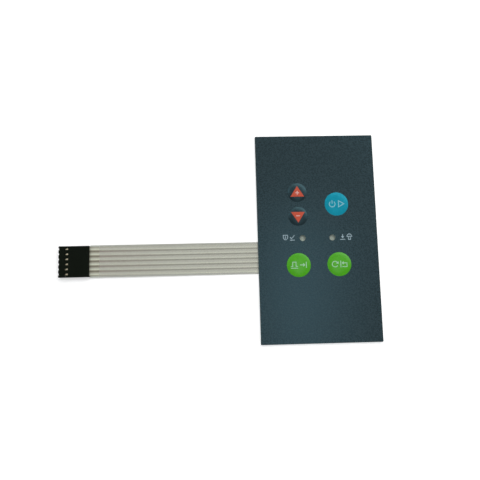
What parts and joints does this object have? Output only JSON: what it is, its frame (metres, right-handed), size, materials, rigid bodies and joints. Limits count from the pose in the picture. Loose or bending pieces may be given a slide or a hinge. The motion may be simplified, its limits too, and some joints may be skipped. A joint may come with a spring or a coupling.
{
  "type": "membrane keypad",
  "caption": "Flat laminated membrane keypad with round embossed keys over snap domes, indicator windows and a printed film tail ending in a pin socket connector.",
  "frame": {"origin": "centre of the panel's rear face, which is the back of the release liner", "axes": "+Z out of the printed face, +Y towards the up key, tail and connector along -X"},
  "size_m": [0.1627, 0.108, 0.0027],
  "materials": {
    "overlay_film": "fine matt texture, second-surface print",
    "black_key": "embossed film, fine matt texture",
    "blue_key": "embossed film, fine matt texture",
    "green_key": "embossed film, fine matt texture",
    "red_ink": "screen print",
    "clear_adhesive": "acrylic adhesive film",
    "spacer_film": "polyester film",
    "pusher_film": "polyester disc",
    "circuit_film": "clear polyester film",
    "cover_film": "clear polyester film",
    "silver_ink": "screen-printed silver ink",
    "dome_steel": "stamped stainless steel",
    "liner_paper": "silicone-coated paper",
    "housing_plastic": "moulded",
    "contact_metal": "tin-plated strip"
  },
  "bodies": {
    "panel": {"overlay": "overlay_film", "overlay_adhesive": "clear_adhesive", "spacer": "spacer_film", "circuit_film": "circuit_film", "tail_cover": "cover_film", "rear_adhesive": "clear_adhesive", "release_liner": "liner_paper", "connector_housing": "housing_plastic", "up_dome": "dome_steel", "down_dome": "dome_steel", "start_dome": "dome_steel", "jog_dome": "dome_steel", "reset_dome": "dome_steel", "start_conductor": "silver_ink", "up_conductor": "silver_ink", "down_conductor": "silver_ink", "common_conductor": "silver_ink", "jog_conductor": "silver_ink", "reset_conductor": "silver_ink", "contact_1": "contact_metal", "contact_2": "contact_metal", "contact_3": "contact_metal", "contact_4": "contact_metal", "contact_5": "contact_metal", "contact_6": "contact_metal"},
    "up_button": {"up_key": "black_key", "up_pusher": "pusher_film", "up_arrowhead": "red_ink"},
    "down_button": {"down_key": "black_key", "down_pusher": "pusher_film", "down_arrowhead": "red_ink"},
    "start_button": {"start_key": "blue_key", "start_pusher": "pusher_film"},
    "jog_button": {"jog_key": "green_key", "jog_pusher": "pusher_film"},
    "reset_button": {"reset_key": "green_key", "reset_pusher": "pusher_film"}
  },
  "joints": [
    {"name": "up_press", "type": "slide", "parent": "panel", "child": "up_button", "axis": [0, 0, -1], "range_m": [0, 0.0004], "stiffness_N_per_m": 6000, "deforming": ["up_dome"]},
    {"name": "down_press", "type": "slide", "parent": "panel", "child": "down_button", "axis": [0, 0, -1], "range_m": [0, 0.0004], "stiffness_N_per_m": 6000, "deforming": ["down_dome"]},
    {"name": "start_press", "type": "slide", "parent": "panel", "child": "start_button", "axis": [0, 0, -1], "range_m": [0, 0.0004], "stiffness_N_per_m": 6000, "deforming": ["start_dome"]},
    {"name": "jog_press", "type": "slide", "parent": "panel", "child": "jog_button", "axis": [0, 0, -1], "range_m": [0, 0.0004], "stiffness_N_per_m": 6000, "deforming": ["jog_dome"]},
    {"name": "reset_press", "type": "slide", "parent": "panel", "child": "reset_button", "axis": [0, 0, -1], "range_m": [0, 0.0004], "stiffness_N_per_m": 6000, "deforming": ["reset_dome"]}
  ]
}
